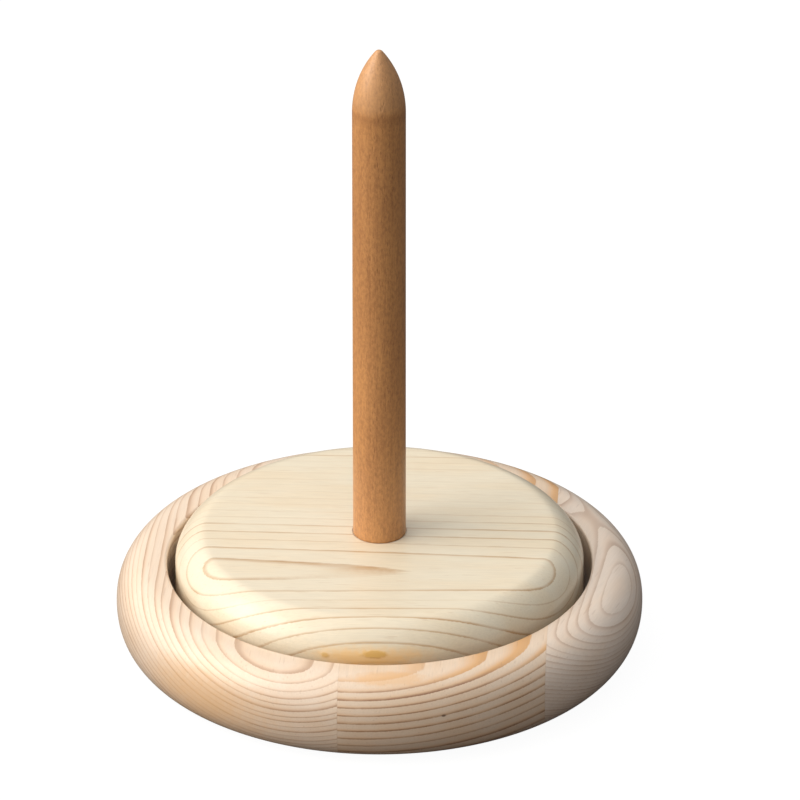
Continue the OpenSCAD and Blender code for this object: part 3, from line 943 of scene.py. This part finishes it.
class BuildPads(Operator):
    """Cuts the four felt pads and sets them round the underside of the dish"""
    bl_idname = "pegstand.pads"
    bl_label = "Felt pads"

    def execute(self, context):
        pad_r = (PAD_HIGH.x - PAD_LOW.x) / 2
        low, high, r = PAD_LOW.z, PAD_HIGH.z, shape("hardware").pad_round
        bend = [math.radians(15 * i) for i in range(7)]
        edge = [(pad_r - r + r * math.sin(t), low + r - r * math.cos(t)) for t in bend]
        edge += [(pad_r - r + r * math.cos(t), high - r + r * math.sin(t)) for t in bend]
        material = felt_material(shape("finish"))
        mesh = turn_on_lathe(spaced([(0, low)] + edge + [(0, high)], 0.0015), False, 64, material)
        centre = (PAD_LOW + PAD_HIGH) / 2
        places = ring(4, math.hypot(centre.x, centre.y), math.radians(45), 0.0)
        row = grow_from("round_row", "Piece", mesh, {**places, "Material": material})
        add_piece("felt_pads", row, "base", "felt", "pad_front_left", "pad_front_right",
                  "pad_back_left", "pad_back_right")
        return {"FINISHED"}


class BuildBearing(Operator):
    """Makes the balls and the cage, and finishes the two pressed plates"""
    bl_idname = "pegstand.bearing"
    bl_label = "Bearing"

    def execute(self, context):
        hardware, finish = shape("hardware"), shape("finish")
        steel = metal_material("ball_steel", tuple(finish.steel), 0.08, 0.16, 0.9)
        nylon = nylon_material(finish)
        places = ring(hardware.ball_count, BALL_CIRCLE_R, 0.0, BALL_MID)
        balls = grow("ball_row", {"Ball Radius": BALL_R, **places, "Material": steel})
        add_piece("race_balls", balls, "ball_race", "ball_steel", "bearing_balls")
        outer, low, high, r = CAGE_HIGH.x, CAGE_LOW.z, CAGE_HIGH.z, 0.0002
        inner = 2 * BALL_CIRCLE_R - outer
        section = [(inner + r, low), (outer - r, low), (outer, low + r), (outer, high - r),
                   (outer - r, high), (inner + r, high), (inner, high - r), (inner, low + r)]
        mesh = turn_on_lathe(section, True, 160, nylon)
        cage = grow_from("drilled_piece", "Blank", mesh,
                         {**places, "Drill Radius": BALL_R + hardware.cage_play,
                          "Drill Length": 0.004, "Material": nylon})
        add_piece("race_cage", cage, "ball_race", "nylon", "ball_cage")
        zinc = metal_material("zinc_plate", tuple(finish.zinc), 0.28, 0.42, 0.35)
        for node in ("bearing_lower_plate", "bearing_upper_plate"):
            plate = bpy.data.objects[node]
            plate.data.materials.clear()
            plate.data.materials.append(zinc)
        return {"FINISHED"}


class BuildScrews(Operator):
    """Makes the plate screws and the peg's screw, with helical threads and cross recesses"""
    bl_idname = "pegstand.screws"
    bl_label = "Screws"

    def execute(self, context):
        hardware = shape("hardware")
        steel = metal_material("screw_steel", tuple(shape("finish").zinc), 0.25, 0.38, 0.8)
        lower_seat = LOWER_PLATE_LOW.z + hardware.plate_t
        upper_seat = PLATTER_FOOT - hardware.plate_t
        for name, node, body, length, seat, start, flip in (
                ("screws_lower", "lower_plate_screws", "base", lower_seat - LOWER_SCREWS_LOW.z,
                 lower_seat, 45, True),
                ("screws_upper", "upper_plate_screws", "platter", UPPER_SCREWS_HIGH.z - upper_seat,
                 upper_seat, 90, False)):
            mesh = self.screw(hardware.plate_screw_r, length, False, steel)
            if flip:
                mesh.transform(Matrix.Rotation(math.pi, 4, "X"))
            places = ring(4, hardware.hole_circle, math.radians(start), seat)
            row = grow_from("round_row", "Piece", mesh, {**places, "Material": steel})
            add_piece(name, row, body, "screw_steel", node)
        mesh = self.screw(hardware.peg_screw_r, PEG_SCREW_HIGH.z - PEG_SCREW_LOW.z, True, steel)
        mesh.transform(Matrix.Translation((0, 0, PEG_SCREW_LOW.z)))
        add_piece("screw_peg", mesh, "platter", "screw_steel", "peg_screw")
        return {"FINISHED"}

    @staticmethod
    def screw(outer_r, length, countersunk, material):
        """One screw along +Z with its head seated at the origin."""
        hardware = shape("hardware")
        core = outer_r - hardware.thread_depth
        taper = length - 1.2 * outer_r
        start = hardware.flat_head_h if countersunk else 0.0006
        turns = math.floor((taper - start) / hardware.thread_pitch - 0.5)
        if countersunk:
            head_r = hardware.flat_head_r
            head = [(0, 0), (head_r - 0.0001, 0), (head_r, 0.00015), (core, hardware.flat_head_h)]
            recess_z = 0.0
        else:
            head_r, head_h, r = hardware.pan_head_r, 0.002, 0.0008
            bend = [math.radians(15 * i) for i in range(7)]
            dome = [(head_r - r + r * math.sin(t), r - head_h - r * math.cos(t)) for t in bend]
            head = [(0, -head_h)] + dome + [(head_r, 0), (core, 0)]
            recess_z = -head_h
        outline = outline_object(head + [(core, taper), (0, length)], False)
        mesh = grow("wood_screw", {
            "Outline": outline, "Steps": 48, "Core Radius": core, "Thread Depth": hardware.thread_depth,
            "Pitch": hardware.thread_pitch, "Turns": float(turns), "Thread Start": start + 0.0004,
            "Drive Width": hardware.drive_w, "Drive Length": head_r, "Drive Depth": 0.002,
            "Drive Height": recess_z, "Material": material})
        discard(outline)
        return mesh


def face(made, target):
    made.rotation_euler = (Vector(target) - made.location).to_track_quat("-Z", "Y").to_euler()


class BuildStudio(Operator):
    """Sets the pale floor, the soft lights, the white surroundings and the camera"""
    bl_idname = "pegstand.studio"
    bl_label = "Studio"

    def execute(self, context):
        studio = shape("studio")
        scene = context.scene
        self.floor(studio)
        self.surroundings(scene, studio)
        self.softbox(studio)
        lens = bpy.data.cameras.new("camera")
        lens.lens = studio.lens
        lens.sensor_width = 36
        lens.clip_end = 20
        camera = place_object("camera", lens)
        camera.location = (0, -studio.camera_away, studio.camera_height)
        face(camera, studio.aim)
        scene.camera = camera
        scene.view_settings.view_transform = "Standard"
        return {"FINISHED"}

    @staticmethod
    def softbox(studio):
        """One warm square light, 2 m away, that faces the foot of the peg."""
        light = bpy.data.lights.new("key_light", "AREA")
        light.shape = "SQUARE"
        light.size = 1.5
        light.energy = studio.key_power
        light.color = (1.0, 0.93, 0.83)
        lamp = place_object("key_light", light)
        lamp.location = 2 * Vector(KEY_WAY)
        face(lamp, (0, 0, 0.05))

    @staticmethod
    def floor(studio):
        """A wide pale floor that stays nearly white to the camera and keeps a faint soft shadow."""
        shell = bmesh.new()
        bmesh.ops.create_grid(shell, x_segments=8, y_segments=8, size=4)
        mesh = bpy.data.meshes.new("studio_floor")
        shell.to_mesh(mesh)
        shell.free()
        material = bpy.data.materials.new("studio_floor")
        material.use_nodes = True
        tree = material.node_tree
        tree.nodes.clear()
        seen = put(tree, "ShaderNodeLightPath").outputs["Is Camera Ray"]
        white = put(tree, "ShaderNodeEmission", {"Color": (1, 1, 1, 1), "Strength": 1.06}).outputs[0]
        matt = put(tree, "ShaderNodeBsdfDiffuse", {"Color": (*studio.floor, 1)}).outputs[0]
        dim = put(tree, "ShaderNodeBsdfDiffuse", {"Color": (0.13, 0.11, 0.10, 1)}).outputs[0]
        shown = put(tree, "ShaderNodeMixShader", {0: 0.9, 1: matt, 2: white}).outputs[0]
        both = put(tree, "ShaderNodeMixShader", {0: seen, 1: dim, 2: shown}).outputs[0]
        put(tree, "ShaderNodeOutputMaterial", {"Surface": both})
        mesh.materials.append(material)
        just_below = -0.1 * MM
        mesh.transform(Matrix.Translation((0, 0, just_below)))
        place_object("studio_floor", mesh)

    @staticmethod
    def surroundings(scene, studio):
        """White to the camera; to the pieces a warm glow, a cool one high behind, and an even sky."""
        world = bpy.data.worlds.new("surroundings")
        world.use_nodes = True
        tree = world.node_tree
        tree.nodes.clear()
        seen = put(tree, "ShaderNodeLightPath").outputs["Is Camera Ray"]
        white = put(tree, "ShaderNodeBackground", {"Color": (1, 1, 1, 1), "Strength": 1.0}).outputs[0]
        way = put(tree, "ShaderNodeTexCoord").outputs["Generated"]
        facing, behind = (put(tree, "ShaderNodeVectorMath", {0: way, 1: light_way},
                              operation="DOT_PRODUCT").outputs["Value"]
                          for light_way in (KEY_WAY, BACK_WAY))
        lobe = times(tree, calc(tree, "MAXIMUM", facing, 0.0), studio.glow)
        glow = put(tree, "ShaderNodeBackground", {"Color": (1.0, 0.95, 0.87, 1),
                                                  "Strength": lobe}).outputs[0]
        lobe = calc(tree, "POWER", calc(tree, "MAXIMUM", behind, 0.0), 2.0)
        upper = calc(tree, "MULTIPLY_ADD", lobe, studio.back, studio.sky)
        even = put(tree, "ShaderNodeBackground", {"Color": (0.93, 0.97, 1.0, 1),
                                                  "Strength": upper}).outputs[0]
        fill = put(tree, "ShaderNodeAddShader", {0: glow, 1: even}).outputs[0]
        both = put(tree, "ShaderNodeMixShader", {0: seen, 1: fill, 2: white}).outputs[0]
        put(tree, "ShaderNodeOutputWorld", {"Surface": both})
        scene.world = world


STEPS = (BuildFinishes, BuildDish, BuildPlatter, BuildPeg, BuildPads, BuildBearing, BuildScrews,
         BuildStudio)


class PegStandPanel(Panel):
    """Lists the stand's pieces and settings"""
    bl_idname = "VIEW3D_PT_pegstand"
    bl_label = "Peg Stand"
    bl_space_type = "VIEW_3D"
    bl_region_type = "UI"
    bl_category = "Peg Stand"

    def draw(self, context):
        for step in STEPS:
            self.layout.operator(step.bl_idname, text=step.bl_label)
        for name, group in GROUPS.items():
            box = self.layout.box()
            box.label(text=name.capitalize())
            for prop in group.__annotations__:
                box.prop(getattr(context.scene, name), prop)


def register():
    for cls in (*GROUPS.values(), *STEPS, PegStandPanel):
        bpy.utils.register_class(cls)
    for name, group in GROUPS.items():
        setattr(bpy.types.Scene, name, PointerProperty(type=group))


def unregister():
    for name in GROUPS:
        delattr(bpy.types.Scene, name)
    for cls in (PegStandPanel, *reversed(STEPS), *GROUPS.values()):
        bpy.utils.unregister_class(cls)


def main():
    register()
    for step in STEPS:
        family, name = step.bl_idname.split(".")
        getattr(getattr(bpy.ops, family), name)()


if __name__ == "__main__":
    main()
